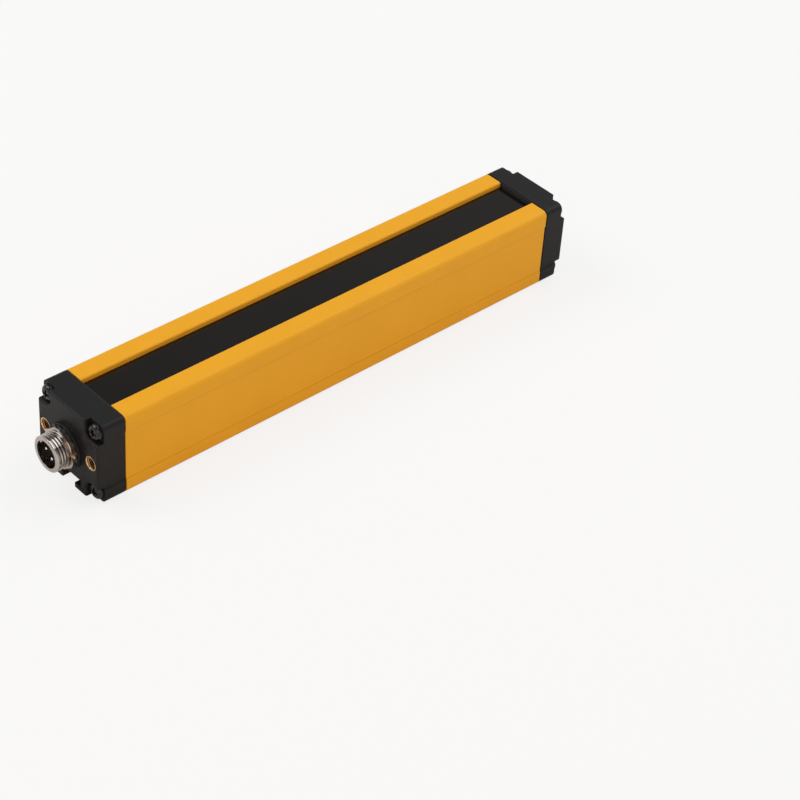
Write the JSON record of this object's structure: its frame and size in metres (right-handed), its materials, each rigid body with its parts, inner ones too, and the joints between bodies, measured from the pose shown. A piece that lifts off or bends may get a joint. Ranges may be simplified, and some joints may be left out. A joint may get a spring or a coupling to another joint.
{
  "type": "safety light curtain",
  "caption": "Bar-shaped safety light curtain: T-slotted aluminium housing with a dark front window, screwed end caps and a round threaded connector at one end.",
  "frame": {"origin": "on the plane of the T-slot face, at the middle of the whole bar's width and length, connector included", "axes": "+Z from the T-slot face to the window side, +Y along the bar away from the connector, +X across the bar"},
  "size_m": [0.03, 0.203, 0.0295],
  "materials": {
    "powder_coat": "fine-textured yellow powder coat",
    "window": "polished black, passes infrared",
    "seal_rubber": "matt black",
    "cap_plastic": "fine-grained black moulding",
    "black_screw": "black oxide",
    "brass": "plain machined",
    "nickel": "bright nickel plate",
    "washer_steel": "nickel-plated spring steel",
    "insulator": "black moulded",
    "contact": "bright plated",
    "board": "green solder mask",
    "carrier_plastic": "black moulded",
    "emitter_resin": "tinted clear resin",
    "lens_resin": "clear moulded",
    "chip_resin": "moulded package",
    "capacitor_resin": "moulded package",
    "red_lamp": "tinted clear resin",
    "green_lamp": "tinted clear resin",
    "lead_cover": "grey insulation"
  },
  "bodies": {
    "root": {"housing_profile": "powder_coat", "front_window": "window", "window_seal_left": "seal_rubber", "window_seal_right": "seal_rubber", "near_gasket": "seal_rubber", "far_gasket": "seal_rubber", "connector_sealing_ring": "seal_rubber", "near_end_cap": "cap_plastic", "far_end_cap": "cap_plastic", "near_cap_screw_1": "black_screw", "near_cap_screw_2": "black_screw", "near_cap_screw_3": "black_screw", "near_cap_screw_4": "black_screw", "near_insert_left": "brass", "near_insert_right": "brass", "far_cap_screw_1": "black_screw", "far_cap_screw_2": "black_screw", "far_cap_screw_3": "black_screw", "far_cap_screw_4": "black_screw", "far_insert_left": "brass", "far_insert_right": "brass", "connector_shell": "nickel", "connector_nut": "nickel", "connector_lock_washer": "washer_steel", "connector_insulator": "insulator", "connector_pin_1": "contact", "connector_pin_2": "contact", "connector_pin_3": "contact", "connector_pin_4": "contact", "circuit_board": "board", "lens_carrier": "carrier_plastic", "board_socket": "carrier_plastic", "infrared_emitter_1": "emitter_resin", "beam_lens_1": "lens_resin", "infrared_emitter_2": "emitter_resin", "beam_lens_2": "lens_resin", "infrared_emitter_3": "emitter_resin", "beam_lens_3": "lens_resin", "infrared_emitter_4": "emitter_resin", "beam_lens_4": "lens_resin", "infrared_emitter_5": "emitter_resin", "beam_lens_5": "lens_resin", "infrared_emitter_6": "emitter_resin", "beam_lens_6": "lens_resin", "infrared_emitter_7": "emitter_resin", "beam_lens_7": "lens_resin", "infrared_emitter_8": "emitter_resin", "beam_lens_8": "lens_resin", "control_chip": "chip_resin", "driver_chip": "chip_resin", "voltage_regulator": "chip_resin", "storage_capacitor": "capacitor_resin", "status_lamp_red": "red_lamp", "status_lamp_green": "green_lamp", "lead_wire_1": "lead_cover", "lead_wire_2": "lead_cover", "lead_wire_3": "lead_cover", "lead_wire_4": "lead_cover"}
  },
  "joints": []
}
